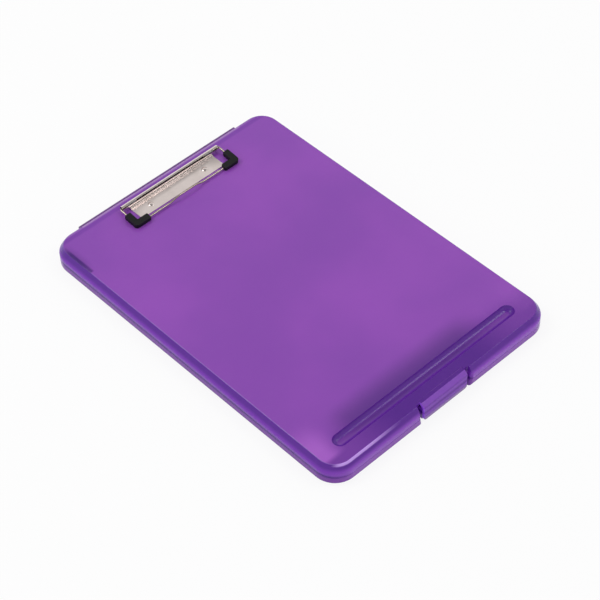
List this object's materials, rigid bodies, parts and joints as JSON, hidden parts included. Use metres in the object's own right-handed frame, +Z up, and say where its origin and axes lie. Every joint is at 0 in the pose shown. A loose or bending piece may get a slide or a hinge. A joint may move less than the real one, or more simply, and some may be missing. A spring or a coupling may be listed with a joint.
{
  "type": "storage clipboard box",
  "caption": "Shallow letter-size storage box whose hinged lid is a clipboard with a wire clip, corner grips, a pen trough and a front latch tab.",
  "frame": {"origin": "middle of the underside, on the surface that the closed box stands on", "axes": "+X to the right seen from the latch, +Y from the latch to the hinge, +Z up out of the writing board"},
  "size_m": [0.2404, 0.3415, 0.025],
  "materials": {
    "shell_plastic": "glossy translucent purple plastic",
    "nickel_plate": "bright nickel plate",
    "plain_steel": "drawn steel",
    "grip_rubber": "satin black rubber"
  },
  "bodies": {
    "box": {"tray": "shell_plastic", "hinge_pin": "plain_steel"},
    "cover": {"lid": "shell_plastic", "clip_plate": "nickel_plate", "clip_springs": "plain_steel", "clip_rivets": "nickel_plate", "rivet_washers": "plain_steel"},
    "latch": {"latch_tab": "shell_plastic"},
    "bail": {"clip_wire": "nickel_plate", "grip_left": "grip_rubber", "grip_right": "grip_rubber"}
  },
  "joints": [
    {"name": "lid_hinge", "type": "hinge", "parent": "box", "child": "cover", "pos_m": [0, 0.16775, 0.0114], "axis": [-1, 0, 0], "range_deg": [0, 150]},
    {"name": "latch_flex", "type": "hinge", "parent": "cover", "child": "latch", "pos_m": [0, -0.16315, 0.0176], "axis": [-1, 0, 0], "range_deg": [0, 8], "stiffness_Nm_per_rad": 0.15},
    {"name": "bail_pivot", "type": "hinge", "parent": "cover", "child": "bail", "pos_m": [0, 0.15275, 0.02275], "axis": [-1, 0, 0], "range_deg": [0, 95], "stiffness_Nm_per_rad": 0.05, "springref_deg": -28.65}
  ]
}
